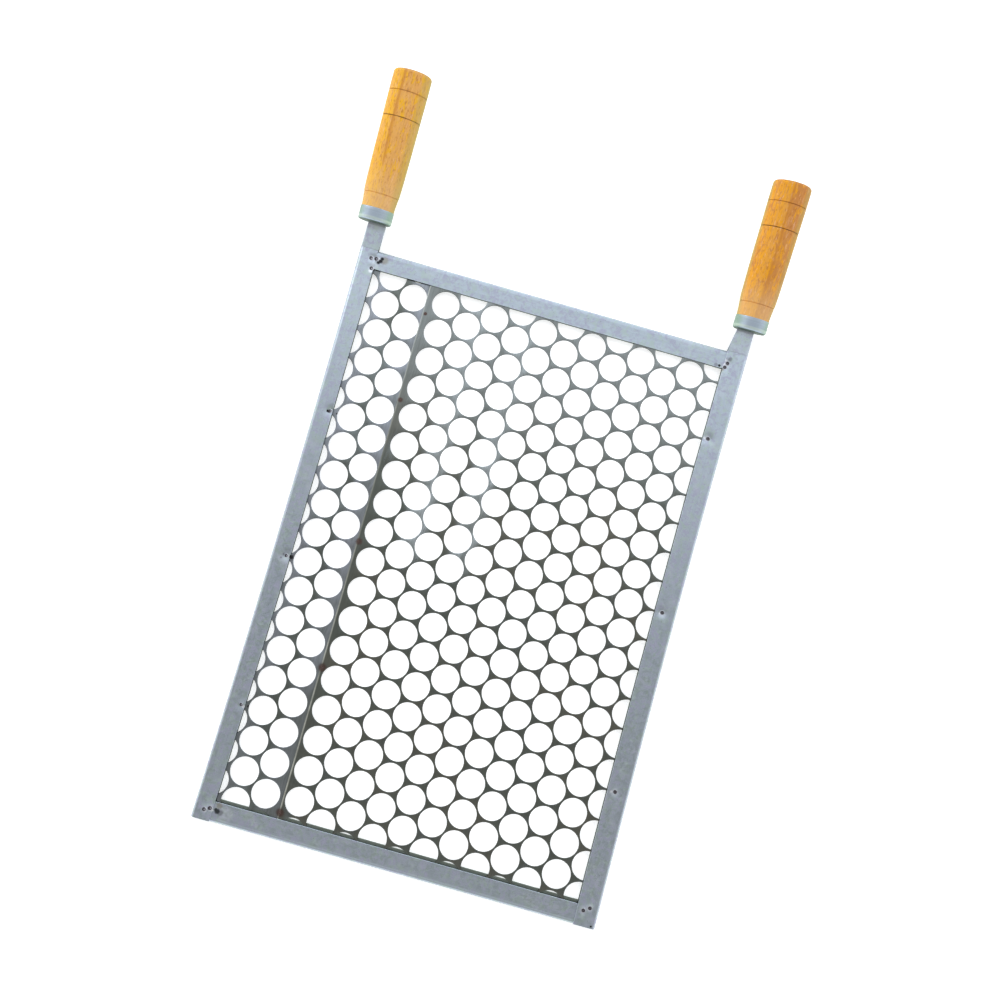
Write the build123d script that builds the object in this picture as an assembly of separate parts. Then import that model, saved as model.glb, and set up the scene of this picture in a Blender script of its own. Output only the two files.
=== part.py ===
"""Flat two-handled barbecue grill made from punched coin-blank sheet.

Two lapped sheets of steel, each full of round punched holes, lie in a frame of folded steel
strip. The side rails run on past the frame, close up into flat tangs, and carry two turned
wooden handles that are set at a slight upward angle.

Working frame: X across the grill, +Y towards the handles, +Z up, z = 0 under the rails. At the
end everything moves along Y, so that the origin is the bottom centre of the whole object's box.
"""
from build123d import *
import math
import os

# ---- Driving dimensions, in millimetres and degrees ----
FRAME_WIDTH = 344.0                  # at its narrowest
NARROWEST_Y = -95.0                  # both side rails bow slightly outwards from here
RAIL_BOW_RADIUS = 16100.0
FAR_END_Y = -251.0                   # the frame's two outer ends, from where Y is measured
HANDLE_END_Y = 252.0
LEFT_RAIL_WIDTH = 15.9
RIGHT_RAIL_WIDTH = 18.7
HANDLE_END_BAR_WIDTH = 16.4
FAR_END_BAR_WIDTH = 16.8
FAR_END_BAR_LIP = 2.6                # its lower flange reaches this much further in
STRIP_GAUGE = 1.2
SHEET_GAUGE = 1.0

HOLE_DIAMETER = 23.9
HOLE_PITCH = 25.8                    # along a column
COLUMN_SPACING = 22.09
WIDE_SHEET_HOLE = (20.2, 3.0)        # centre of one hole that sets out the wide sheet's pattern
NARROW_SHEET_HOLE = (-141.2, 1.6)    # the same for the narrow sheet
SEAM_EDGE_AT_FAR_END = -104.0        # the wide sheet's cut edge isn't quite square to the frame
SEAM_EDGE_AT_HANDLE_END = -108.1
NARROW_SHEET_EDGE = -102.4           # hidden under the wide sheet

HANDLE_X = 169.2                     # the handles' axes stand slightly outside the rails' centres
LEFT_HANDLE_BASE_Y = 272.8           # where each axis meets the bottom of its ferrule
RIGHT_HANDLE_BASE_Y = 271.0
HANDLE_BASE_Z = 14.1
HANDLE_RISE = 13.0                   # degrees above the frame's plane
NECK_OUTER_EDGE = 174.2              # distance from the middle of the grill, at the ferrule
NECK_INNER_EDGE_LEFT = 158.2
NECK_INNER_EDGE_RIGHT = 158.9
NECK_END = 2.0                       # the neck is flat this far before the ferrule
NECK_CAVITY_SHARE = 0.8              # how far up the neck the fold stays open
NECK_CAVITY_TIP = 0.5                # height of the fold's gap where it closes
RAIL_STEPS = 8                       # straight steps that each rail's bow is made in

FERRULE_DIAMETER = 29.4
FERRULE_LENGTH = 11.6
FERRULE_WALL = 0.8
FERRULE_EDGE_RADIUS = 2.0
FERRULE_RIM_RADIUS = 0.3

GRIP_LENGTH = 130.4                  # measured, like the grooves, from the bottom of the ferrule
GRIP_SHOULDER_RADIUS = 14.35
GRIP_GROOVES = (23.65, 89.4, 111.25)
GROOVE_WIDTH = 0.7
GROOVE_DEPTH = 0.55
SPIGOT_CLEARANCE = 0.1

TANG_SHOULDER = 3.0                  # the tang's full width reaches this far into the ferrule
PRONG_WIDTH = 9.0
PRONG_LENGTH = 56.0
PRONG_TIP_WIDTH = 4.0
PRONG_TAPER = 12.0

CORNER_WELD_RADIUS = 1.7
LEFT_RAIL_WELD_X = -159.2
LEFT_RAIL_WELD_RADIUS = 1.3
RIGHT_RAIL_WELD_X = 160.0
RIGHT_RAIL_WELD_RADIUS = 1.8
SEAM_WELD_RADIUS = 0.8
WELD_BUTTON_HEIGHT = 0.15
WELD_BUTTON_EDGE = 0.5               # how far a button reaches past its nugget
WELD_CLEARANCE = 0.05

# ---- Worked-out levels and edges ----
bar_height = 2 * STRIP_GAUGE + 2 * SHEET_GAUGE
rail_height = bar_height + 2 * STRIP_GAUGE
mid_level = rail_height / 2
half_width = FRAME_WIDTH / 2
rail_fold_x = half_width - rail_height / 2
sheet_far_y = FAR_END_Y + bar_height / 2
sheet_handle_y = HANDLE_END_Y - bar_height / 2
hole_radius = HOLE_DIAMETER / 2

LEFT = -1
RIGHT = 1


def rail_outer(y):
    """A side rail's outer edge, as a distance from the middle of the grill."""
    return half_width + (y - NARROWEST_Y) ** 2 / (2 * RAIL_BOW_RADIUS)


def rail_width(side):
    """How wide a side rail is across its flat face."""
    return LEFT_RAIL_WIDTH if side == LEFT else RIGHT_RAIL_WIDTH


def folded_outline(outer, inner, height):
    """A strip's section: flat on both faces, half-round along its outer edge, open side inner."""
    radius = height / 2
    side = math.copysign(1.0, outer)
    arc_start = outer - side * radius
    lower = Line((inner, -radius), (arc_start, -radius))
    nose = ThreePointArc((arc_start, -radius), (outer, 0), (arc_start, radius))
    upper = Line((arc_start, radius), (inner, radius))
    lip = Line((inner, radius), (inner, -radius))
    return make_face([lower, nose, upper, lip])


def channel_section(outer, inner, height):
    """The same strip folded over, with the gap between its two flanges open at the inner edge."""
    side = math.copysign(1.0, outer)
    gap = folded_outline(outer - side * STRIP_GAUGE, inner - side, height - 2 * STRIP_GAUGE)
    return folded_outline(outer, inner, height) - gap


def section_plane_along_y(y, z=mid_level):
    """A plane square to Y, with its own first axis along X."""
    return Plane(origin=(0, y, z), x_dir=(1, 0, 0), z_dir=(0, 1, 0))


def handle_plane(side, along=0.0):
    """A plane square to a handle's axis, at a distance along it from the ferrule's bottom."""
    rise = math.radians(HANDLE_RISE)
    base_y = LEFT_HANDLE_BASE_Y if side == LEFT else RIGHT_HANDLE_BASE_Y
    y = base_y + along * math.cos(rise)
    z = HANDLE_BASE_Z + along * math.sin(rise)
    direction = (0, math.cos(rise), math.sin(rise))
    return Plane(origin=(side * HANDLE_X, y, z), x_dir=(1, 0, 0), z_dir=direction)


def tang_section(side):
    """The flattened neck, seen along the handle's axis and measured from that axis."""
    neck_inner = NECK_INNER_EDGE_LEFT if side == LEFT else NECK_INNER_EDGE_RIGHT
    outer = side * (NECK_OUTER_EDGE - HANDLE_X)
    inner = side * (neck_inner - HANDLE_X)
    return folded_outline(outer, inner, 2 * STRIP_GAUGE)


def neck(side):
    """The rail's run from the frame up to the ferrule, where its two flanges close together."""
    outer = side * rail_outer(HANDLE_END_Y)
    rail_inner = outer - side * rail_width(side)
    start = section_plane_along_y(HANDLE_END_Y) * folded_outline(outer, rail_inner, rail_height)
    end_plane = handle_plane(side, -NECK_END)
    end = end_plane * tang_section(side)
    body = loft([start, end], ruled=True)

    gap_outer = outer - side * STRIP_GAUGE
    gap_start = section_plane_along_y(HANDLE_END_Y) * folded_outline(
        gap_outer, rail_inner - side, rail_height - 2 * STRIP_GAUGE)
    tip_y = HANDLE_END_Y + NECK_CAVITY_SHARE * (end_plane.origin.Y - HANDLE_END_Y)
    tip_z = mid_level + NECK_CAVITY_SHARE * (end_plane.origin.Z - mid_level)
    beyond_edge = rail_inner - side * LEFT_RAIL_WIDTH / 2
    gap_end = section_plane_along_y(tip_y, tip_z) * folded_outline(
        gap_outer, beyond_edge, NECK_CAVITY_TIP)
    return body - loft([gap_start, gap_end], ruled=True)


def prong(side):
    """The narrow end of the tang, buried in the wood, with a tapered tip."""
    half = PRONG_WIDTH / 2
    half_tip = PRONG_TIP_WIDTH / 2
    length = PRONG_LENGTH
    outline = make_face(Polyline(
        (-half, 0), (half, 0), (half, length - PRONG_TAPER), (half_tip, length),
        (-half_tip, length), (-half, length - PRONG_TAPER), close=True).edges())
    shoulder = handle_plane(side, TANG_SHOULDER)
    flat = Plane(origin=shoulder.origin, x_dir=(1, 0, 0), z_dir=shoulder.y_dir * -1)
    return extrude(flat * outline, amount=STRIP_GAUGE, both=True)


def tang(side):
    """The flat blade that goes through the ferrule, and its prong."""
    blade = extrude(handle_plane(side, -NECK_END) * tang_section(side),
                    amount=NECK_END + TANG_SHOULDER)
    return blade + prong(side)


def bowed_run(side, set_back, overhang, height):
    """A folded outline lofted along the rail's bow, with its edges moved in by these amounts."""
    sections = []
    for step in range(RAIL_STEPS + 1):
        y = FAR_END_Y + (HANDLE_END_Y - FAR_END_Y) * step / RAIL_STEPS
        outer = rail_outer(y) - set_back
        inner = rail_outer(y) - rail_width(side) - overhang
        outline = folded_outline(side * outer, side * inner, height)
        sections.append(section_plane_along_y(y) * outline)
    return loft(sections, ruled=True)


def side_rail(side):
    """A folded rail, its neck and its tang: one strip of steel."""
    body = bowed_run(side, 0.0, 0.0, rail_height)
    gap = bowed_run(side, STRIP_GAUGE, 1.0, rail_height - 2 * STRIP_GAUGE)
    return body - gap + neck(side) + tang(side)


def end_bar(outer, width, lip=0.0):
    """A folded bar whose fold faces away from the grill, and whose ends lie inside the rails.

    lip is how much further in the lower flange reaches than the upper one.
    """
    end = math.copysign(1.0, outer)
    inner = outer - end * width
    profile = channel_section(outer, inner, bar_height)
    if lip:
        bottom = -bar_height / 2
        profile += make_face(Polyline(
            (inner, bottom), (inner - end * lip, bottom), (inner - end * lip, bottom + STRIP_GAUGE),
            (inner, bottom + STRIP_GAUGE), close=True).edges())
    reach = rail_outer(inner) - rail_height / 2
    start = Plane(origin=(-reach, 0, mid_level), x_dir=(0, 1, 0), z_dir=(1, 0, 0))
    return extrude(start * profile, amount=2 * reach)


def hole_centres(first_hole, low_x, high_x):
    """Staggered holes between two X limits, as far as they show inside the frame's opening."""
    columns = range(-15, 16)
    rows = range(-15, 16)
    far_inner = FAR_END_Y + FAR_END_BAR_WIDTH
    handle_inner = HANDLE_END_Y - HANDLE_END_BAR_WIDTH
    left_inner = -half_width + LEFT_RAIL_WIDTH
    right_inner = half_width - RIGHT_RAIL_WIDTH
    centres = []
    for column in columns:
        x = first_hole[0] + column * COLUMN_SPACING
        if x - hole_radius < low_x or x + hole_radius > high_x:
            continue
        if x + hole_radius < left_inner or x - hole_radius > right_inner:
            continue
        stagger = HOLE_PITCH / 2 if column % 2 else 0.0
        for row in rows:
            y = first_hole[1] + stagger + row * HOLE_PITCH
            if y + hole_radius > far_inner and y - hole_radius < handle_inner:
                centres.append((x, y))
    return centres


def punched_sheet(corners, centres, bottom):
    """A flat sheet with its round holes punched out, and its lower face at the given level."""
    blank = make_face(Polyline(*corners, close=True).edges())
    holes = [Pos(x, y) * Circle(hole_radius) for x, y in centres]
    return extrude(Pos(0, 0, bottom) * (blank - holes), amount=SHEET_GAUGE)


def seam_edge(y):
    """X of the wide sheet's cut edge, which runs slightly askew."""
    share = (y - FAR_END_Y) / (HANDLE_END_Y - FAR_END_Y)
    return SEAM_EDGE_AT_FAR_END + share * (SEAM_EDGE_AT_HANDLE_END - SEAM_EDGE_AT_FAR_END)


def wide_sheet():
    """The larger sheet, which lies on top at the seam."""
    corners = [(seam_edge(sheet_far_y), sheet_far_y), (rail_fold_x, sheet_far_y),
               (rail_fold_x, sheet_handle_y), (seam_edge(sheet_handle_y), sheet_handle_y)]
    centres = hole_centres(WIDE_SHEET_HOLE, NARROW_SHEET_EDGE, FRAME_WIDTH)
    return punched_sheet(corners, centres, mid_level)


def narrow_sheet():
    """The offcut strip that fills the rest of the frame, under the wide sheet at the seam."""
    corners = [(-rail_fold_x, sheet_far_y), (NARROW_SHEET_EDGE, sheet_far_y),
               (NARROW_SHEET_EDGE, sheet_handle_y), (-rail_fold_x, sheet_handle_y)]
    centres = hole_centres(NARROW_SHEET_HOLE, -FRAME_WIDTH, NARROW_SHEET_EDGE)
    return punched_sheet(corners, centres, mid_level - SHEET_GAUGE)


def ferrule(side):
    """A pressed cap over the foot of the grip, slotted for the tang."""
    outer = Cylinder(FERRULE_DIAMETER / 2, FERRULE_LENGTH,
                     align=(Align.CENTER, Align.CENTER, Align.MIN))
    outer = fillet(outer.edges().group_by(Axis.Z)[0], FERRULE_EDGE_RADIUS)
    outer = fillet(outer.edges().group_by(Axis.Z)[-1], FERRULE_RIM_RADIUS)
    inside = Cylinder(FERRULE_DIAMETER / 2 - FERRULE_WALL, FERRULE_LENGTH,
                      align=(Align.CENTER, Align.CENTER, Align.MIN))
    inside = fillet(inside.edges().group_by(Axis.Z)[0], FERRULE_EDGE_RADIUS - FERRULE_WALL)
    cup = outer - Pos(0, 0, FERRULE_WALL) * inside
    return handle_plane(side) * cup - tang(side)


def grip_profile():
    """Half of the turned grip's section: radius against distance from the ferrule's bottom."""
    spigot = FERRULE_DIAMETER / 2 - FERRULE_WALL - SPIGOT_CLEARANCE
    foot = (GRIP_SHOULDER_RADIUS, FERRULE_LENGTH)
    swell = [foot, (14.55, 16.0), (15.0, 21.0), (15.6, 26.5), (15.95, 36.0), (16.3, 58.0),
             (16.55, 86.0), (16.85, 113.5), (16.8, 127.0)]
    corner = (13.9, 129.8)
    dome_height = GRIP_LENGTH - corner[1]
    dome_radius = (corner[0] ** 2 + dome_height ** 2) / (2 * dome_height)
    dome_mid = corner[0] / 2
    dome_mid_height = math.sqrt(dome_radius ** 2 - dome_mid ** 2) - (dome_radius - GRIP_LENGTH)
    body = Spline(*swell)
    rounding = ThreePointArc(swell[-1], (16.05, 128.95), corner)
    dome = ThreePointArc(corner, (dome_mid, dome_mid_height), (0, GRIP_LENGTH))
    inside = Polyline((0, GRIP_LENGTH), (0, TANG_SHOULDER), (spigot, TANG_SHOULDER),
                      (spigot, FERRULE_LENGTH), foot)
    return make_face([body, rounding, dome, *inside.edges()])


def groove_cutter(along):
    """A thin ring with a V section that cuts one burnt groove round the grip."""
    outer = 20.0
    floor = 16.2 if along > FERRULE_LENGTH * 3 else 15.25
    floor_radius = floor - GROOVE_DEPTH
    half = GROOVE_WIDTH / 2
    section = make_face(Polyline((floor_radius, along), (floor, along + half), (outer, along + half),
                                 (outer, along - half), (floor, along - half), close=True).edges())
    return revolve(Plane.XZ * section, Axis.Z)


def grip(side):
    """A turned wooden grip with three thin grooves and a slot for the prong."""
    turned = revolve(Plane.XZ * grip_profile(), Axis.Z)
    for along in GRIP_GROOVES:
        turned -= groove_cutter(along)
    return handle_plane(side) * turned - prong(side)


def upright_cylinder(x, y, bottom, top, radius):
    """A round pin between two levels."""
    return Pos(x, y, bottom) * Cylinder(radius, top - bottom,
                                        align=(Align.CENTER, Align.CENTER, Align.MIN))


def weld(x, y, bottom, top, radius):
    """One spot weld: a nugget through the pieces it joins, under a thin raised button.

    It comes with the pocket that those pieces have for the nugget.
    """
    nugget = upright_cylinder(x, y, bottom, top, radius)
    button = upright_cylinder(x, y, top, top + WELD_BUTTON_HEIGHT, radius + WELD_BUTTON_EDGE)
    pocket = upright_cylinder(x, y, bottom, top, radius + WELD_CLEARANCE)
    return nugget + button, pocket


def corner_welds(places):
    """Spot welds that hold a bar's end to the rail over it."""
    bottom = mid_level + SHEET_GAUGE
    return [weld(x, y, bottom, rail_height, CORNER_WELD_RADIUS) for x, y in places]


def rail_welds(x, rows, bottom, radius):
    """Spot welds from a rail's upper flange down into the sheet, between its holes."""
    return [weld(x, y, bottom, rail_height, radius) for y in rows]


def seam_welds(rows):
    """Spot welds through the lap of the two sheets."""
    bottom = mid_level - SHEET_GAUGE
    top = mid_level + SHEET_GAUGE
    return [weld((seam_edge(y) + NARROW_SHEET_EDGE) / 2, y, bottom, top, SEAM_WELD_RADIUS)
            for y in rows]


def weld_groups():
    """Every group of welds: its name, its welds and the pieces that they pass through."""
    handle_left = [(-163.7, 243.9), (-158.9, 244.6), (-160.9, 235.2)]
    handle_right = [(159.7, 240.7), (158.3, 236.7)]
    far_left = [(-163.4, -242.5), (-158.8, -240.3)]
    far_right = [(159.5, -238.2), (164.4, -235.1)]
    narrow_row = NARROW_SHEET_HOLE[1]
    left_rows = [narrow_row + row * HOLE_PITCH for row in (-6, -1, 4)]
    wide_row = WIDE_SHEET_HOLE[1] + HOLE_PITCH / 2
    right_rows = [wide_row - 6 * HOLE_PITCH, wide_row, wide_row + 6 * HOLE_PITCH + 0.8]
    seam_rows = (-229.0, -106.0, 4.0, 131.0, 210.0)
    return [
        ("handle_end_left_corner_welds", corner_welds(handle_left),
         ("left_side_rail", "handle_end_bar")),
        ("handle_end_right_corner_welds", corner_welds(handle_right),
         ("right_side_rail", "handle_end_bar")),
        ("far_end_left_corner_welds", corner_welds(far_left),
         ("left_side_rail", "far_end_bar")),
        ("far_end_right_corner_welds", corner_welds(far_right),
         ("right_side_rail", "far_end_bar")),
        ("left_rail_spot_welds",
         rail_welds(LEFT_RAIL_WELD_X, left_rows, mid_level - SHEET_GAUGE, LEFT_RAIL_WELD_RADIUS),
         ("left_side_rail", "narrow_perforated_sheet")),
        ("right_rail_spot_welds",
         rail_welds(RIGHT_RAIL_WELD_X, right_rows, mid_level, RIGHT_RAIL_WELD_RADIUS),
         ("right_side_rail", "wide_perforated_sheet")),
        ("seam_spot_welds", seam_welds(seam_rows),
         ("narrow_perforated_sheet", "wide_perforated_sheet")),
    ]


def build():
    """Every node's shape by name, in the working frame."""
    nodes = {
        "wide_perforated_sheet": wide_sheet(),
        "narrow_perforated_sheet": narrow_sheet(),
        "left_side_rail": side_rail(LEFT),
        "right_side_rail": side_rail(RIGHT),
        "handle_end_bar": end_bar(HANDLE_END_Y, HANDLE_END_BAR_WIDTH),
        "far_end_bar": end_bar(FAR_END_Y, FAR_END_BAR_WIDTH, FAR_END_BAR_LIP),
        "left_ferrule": ferrule(LEFT),
        "right_ferrule": ferrule(RIGHT),
        "left_grip": grip(LEFT),
        "right_grip": grip(RIGHT),
    }
    for name, welds, pieces in weld_groups():
        for piece in pieces:
            nodes[piece] = nodes[piece] - [pocket for _, pocket in welds]
        nodes[name] = Compound(children=[each for each, _ in welds])
    return nodes


nodes = build()
boxes = [shape.bounding_box() for shape in nodes.values()]
nearest = min(box.min.Y for box in boxes)
furthest = max(box.max.Y for box in boxes)
to_origin = Pos(0, -(nearest + furthest) / 2, 0)
os.makedirs("parts", exist_ok=True)
for name, shape in nodes.items():
    export_step(to_origin * shape, f"parts/{name}.step")
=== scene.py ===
"""Looks of the flat two-handled barbecue grill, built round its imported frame.

Every CAD node is replaced by a mesh of the same size and place: folded strips swept along the
frame, punched sheets with rolled hole edges, turned grips, pressed ferrules and cratered welds.
Lengths are metres, written as millimetres times MM. Tables that say so are in plain millimetres.
Places on the grill are given in its own coordinates, whose Y starts at grill_y in the scene.
"""

import math

import bmesh
import bpy
from mathutils import Matrix, Vector, kdtree, noise
from mathutils.geometry import delaunay_2d_cdt


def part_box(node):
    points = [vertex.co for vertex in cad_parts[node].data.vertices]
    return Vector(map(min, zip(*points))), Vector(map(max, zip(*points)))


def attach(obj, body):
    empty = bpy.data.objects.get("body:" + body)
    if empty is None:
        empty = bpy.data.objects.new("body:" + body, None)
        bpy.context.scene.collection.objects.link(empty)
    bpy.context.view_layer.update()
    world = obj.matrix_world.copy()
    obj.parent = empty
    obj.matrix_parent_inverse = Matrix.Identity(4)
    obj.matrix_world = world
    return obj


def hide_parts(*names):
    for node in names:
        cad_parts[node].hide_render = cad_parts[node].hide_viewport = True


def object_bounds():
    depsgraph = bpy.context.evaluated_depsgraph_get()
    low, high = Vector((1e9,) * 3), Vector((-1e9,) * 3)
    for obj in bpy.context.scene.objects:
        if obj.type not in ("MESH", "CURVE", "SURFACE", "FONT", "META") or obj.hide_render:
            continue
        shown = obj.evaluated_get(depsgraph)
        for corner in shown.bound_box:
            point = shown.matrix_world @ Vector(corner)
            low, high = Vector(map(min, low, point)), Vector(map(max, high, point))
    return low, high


MM = 0.001
LEFT = -1
RIGHT = 1
SIDE_WORD = {LEFT: "left", RIGHT: "right"}

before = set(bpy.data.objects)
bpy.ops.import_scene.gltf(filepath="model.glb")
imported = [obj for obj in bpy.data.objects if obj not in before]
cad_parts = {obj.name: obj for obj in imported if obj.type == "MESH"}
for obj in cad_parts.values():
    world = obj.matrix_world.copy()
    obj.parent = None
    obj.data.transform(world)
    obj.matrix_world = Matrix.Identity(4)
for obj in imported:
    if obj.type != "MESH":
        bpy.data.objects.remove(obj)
cad_low, cad_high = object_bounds()

# ---- Sizes and levels from the frame ----
far_bar_low, far_bar_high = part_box("far_end_bar")
handle_bar_low, handle_bar_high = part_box("handle_end_bar")
sheet_low, sheet_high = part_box("wide_perforated_sheet")
gauge = far_bar_low.z
bar_height = far_bar_high.z - far_bar_low.z
rail_height = bar_height + 2 * gauge
mid_level = rail_height / 2
rail_fold_x = sheet_high.x
half_width = rail_fold_x + rail_height / 2
rail_inner = {LEFT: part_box("left_side_rail")[1].x, RIGHT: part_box("right_side_rail")[0].x}
handle_bar_width = handle_bar_high.y - handle_bar_low.y
sheet_gauge = sheet_high.z - sheet_low.z

# ---- Driving dimensions that the boxes don't show ----
FAR_END_Y = -251.0 * MM               # where the grill's own Y measures its far end
NARROWEST_Y = -95.0 * MM              # both side rails bow slightly outwards from here
RAIL_BOW_RADIUS = 16100.0 * MM
FAR_BAR_LIP = 2.6 * MM                # its lower flange reaches this much further in
HOLE_RADIUS = 11.95 * MM
HOLE_PITCH = 25.8 * MM
COLUMN_SPACING = 22.09 * MM
WIDE_SHEET_HOLE = (20.2 * MM, 3.0 * MM)
NARROW_SHEET_HOLE = (-141.2 * MM, 1.6 * MM)
SEAM_EDGE_AT_FAR_END = -104.0 * MM
SEAM_EDGE_AT_HANDLE_END = -108.1 * MM
NARROW_SHEET_EDGE = -102.4 * MM

HANDLE_X = 169.2 * MM
HANDLE_BASE_Y = {LEFT: 272.8 * MM, RIGHT: 271.0 * MM}
HANDLE_BASE_Z = 14.1 * MM
HANDLE_RISE = math.radians(13.0)
NECK_OUTER_EDGE = 174.2 * MM
NECK_INNER_EDGE = {LEFT: 158.2 * MM, RIGHT: 158.9 * MM}
NECK_END = 2.0 * MM
BLADE_END = 4.0 * MM                  # how far the flat blade runs on inside the ferrule
FERRULE_RADIUS = 14.7 * MM
FERRULE_LENGTH = 11.6 * MM
FERRULE_WALL = 0.8 * MM

grill_y = far_bar_low.y - FAR_END_Y   # where the grill's own Y starts in the scene
far_bar_width = far_bar_high.y - far_bar_low.y - FAR_BAR_LIP
handle_end_y = handle_bar_high.y - grill_y

# Spot welds as (x, y) places in millimetres, each group named as its CAD node.
CORNER_WELDS = {
    "handle_end_left_corner_welds": [(-163.7, 243.9), (-158.9, 244.6), (-160.9, 235.2)],
    "handle_end_right_corner_welds": [(159.7, 240.7), (158.3, 236.7)],
    "far_end_left_corner_welds": [(-163.4, -242.5), (-158.8, -240.3)],
    "far_end_right_corner_welds": [(159.5, -238.2), (164.4, -235.1)],
}
LEFT_RAIL_WELD_X = -159.2             # this line and the next two are in millimetres
RIGHT_RAIL_WELD_X = 160.0
SEAM_WELD_ROWS = (-229.0, -106.0, 4.0, 131.0, 210.0)
CORNER_WELD_RADIUS = 2.2 * MM
LEFT_RAIL_WELD_RADIUS = 1.8 * MM
RIGHT_RAIL_WELD_RADIUS = 2.3 * MM
SEAM_WELD_RADIUS = 1.3 * MM
WELD_BUTTON_HEIGHT = 0.13 * MM

# What the welder left on the metal, with painted light and shade: (x, y, radius) of each mark, in
# millimetres.
# Black: scorch marks, and painted shade in the gaps under the rails' lips by the welds.
BLACK_MARKS = (
    (-154.5, 246.0, 2.2), (-155.3, 243.7, 2.6), (-156.8, 241.9, 2.1), (-153.0, -241.4, 3.0),
    (-154.2, -240.6, 2.2),
    (153.4, 237.1, 1.6), (158.6, 236.2, 1.0), (168.9, -249.0, 1.1), (-161.4, 104.2, 1.7),
    (-159.9, 103.8, 1.6), (-155.2, -24.2, 2.5), (-153.8, -153.2, 1.3), (-153.7, 104.4, 1.1))
GREY_MARKS = (
    (161.0, 244.9, 2.4), (-162.0, -23.6, 1.4), (-163.2, -26.9, 1.2),
    (150.4, 237.3, 2.4), (-150.4, -241.8, 3.6))
BROWN_MARKS = ((-152.0, 245.0, 4.6), (-152.4, -236.8, 3.4), (156.9, 233.9, 1.5))
# Painted highlights: small pale spots where the weld dimples catch the light.
PAINTED_HIGHLIGHTS = (
    (-157.0, 244.6, 1.9), (-161.4, 232.6, 2.2), (157.6, 239.0, 1.7), (158.1, 243.0, 1.7),
    (-157.0, -154.2, 1.8), (-157.2, -24.4, 1.6), (156.8, -139.3, 1.5), (158.0, 14.9, 1.5),
    (157.0, 171.5, 1.4), (-157.0, -241.6, 1.4))
PALE_BLOOMS = (
    (-146.0, -242.4, 8.5), (160.0, -139.2, 4.4), (160.4, 14.8, 4.4), (158.6, 172.0, 3.6),
    (159.5, -238.2, 4.6), (164.4, -235.1, 4.4), (-158.9, 238.6, 5.0), (-163.7, 243.9, 3.6),
    (-160.9, 235.2, 3.8), (159.7, 240.7, 3.6), (-163.4, -242.5, 3.4), (-158.8, -240.3, 3.6))
WELD_MARKS_AND_PAINTED_LIGHT = (                        # (marks, raggedness in millimetres, share, colour)
    (PALE_BLOOMS, 1.6, 0.45, (0.7, 0.74, 0.8)), (BROWN_MARKS, 2.0, 0.6, (0.29, 0.25, 0.16)),
    (GREY_MARKS, 1.5, 0.65, (0.2, 0.19, 0.24)), (PAINTED_HIGHLIGHTS, 1.2, 0.85, (0.85, 0.87, 0.92)),
    (BLACK_MARKS, 1.2, 1.0, (0.015, 0.012, 0.015)))
WIDE_GLINT_LINES = (-61.0, -17.0)     # x, in millimetres, where each sheet catches the window
NARROW_GLINT_LINES = (-152.2, -112.5)
SEAM_STAINS = (4.9, 4.9, 4.0, 3.0, 2.2)   # radius of each seam weld's stain, in millimetres

# ---- Camera ----
CAMERA_PLACE = (-5.82 * MM, -50.77 * MM, 1019.71 * MM)   # on the grill, above the sheet
CAMERA_TILT = (6.446, -2.238, 15.7)                      # degrees about X, Y and Z
CAMERA_LENS = 43.2
SENSOR_WIDTH = 36.0


def on_grill(x, y):
    """A place on the grill, in its own millimetres, as scene metres."""
    return Vector((x * MM, grill_y + y * MM))


def rail_outer(y):
    """A side rail's outer edge at the grill's own Y, as a distance from the middle."""
    return half_width + (y - NARROWEST_Y) ** 2 / (2 * RAIL_BOW_RADIUS)


def rail_width(side):
    """How wide a side rail is. Its inner edge comes nearest to the middle where it is narrowest."""
    return half_width - abs(rail_inner[side])


def rail_weld_places(side):
    """The three spot welds that hold a side rail to its sheet, between the holes."""
    if side == LEFT:
        rows = [NARROW_SHEET_HOLE[1] + row * HOLE_PITCH for row in (-6, -1, 4)]
        return [on_grill(LEFT_RAIL_WELD_X, row / MM) for row in rows]
    middle = WIDE_SHEET_HOLE[1] + HOLE_PITCH / 2
    rows = [middle - 6 * HOLE_PITCH, middle, middle + 6 * HOLE_PITCH + 0.8 * MM]
    return [on_grill(RIGHT_RAIL_WELD_X, row / MM) for row in rows]


def corner_weld_places(side):
    """The corner welds in one side rail."""
    return [on_grill(x, y) for places in CORNER_WELDS.values() for x, y in places if x * side > 0]


def seam_edge(y):
    """X of the wide sheet's cut edge at the grill's own Y."""
    share = (y - FAR_END_Y) / (handle_end_y - FAR_END_Y)
    return SEAM_EDGE_AT_FAR_END + share * (SEAM_EDGE_AT_HANDLE_END - SEAM_EDGE_AT_FAR_END)


def seam_weld_places():
    """The welds through the lap of the two sheets."""
    places = []
    for row in SEAM_WELD_ROWS:
        x = (seam_edge(row * MM) + NARROW_SHEET_EDGE) / 2
        places.append(Vector((x, grill_y + row * MM)))
    return places


def handle_matrix(side):
    """The handle's own frame: Z along its axis, X across the grill, origin at the ferrule's foot."""
    place = Vector((side * HANDLE_X, grill_y + HANDLE_BASE_Y[side], HANDLE_BASE_Z))
    return Matrix.Translation(place) @ Matrix.Rotation(HANDLE_RISE - math.pi / 2, 4, "X")


# ---- Mesh tools ----

def wobble(position, scale, seed):
    """Smooth noise between -1 and 1 whose bumps are about scale metres apart."""
    return noise.noise(Vector(position) / scale + Vector((seed, 2 * seed, 3 * seed)))


def new_object(name, data):
    """A new object in the scene."""
    made = bpy.data.objects.new(name, data)
    bpy.context.scene.collection.objects.link(made)
    return made


def new_mesh(name, vertices, faces):
    """A mesh with its faces turned outwards."""
    mesh = bpy.data.meshes.new(name)
    mesh.from_pydata(vertices, [], faces)
    turn_outwards(mesh)
    return mesh


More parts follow.
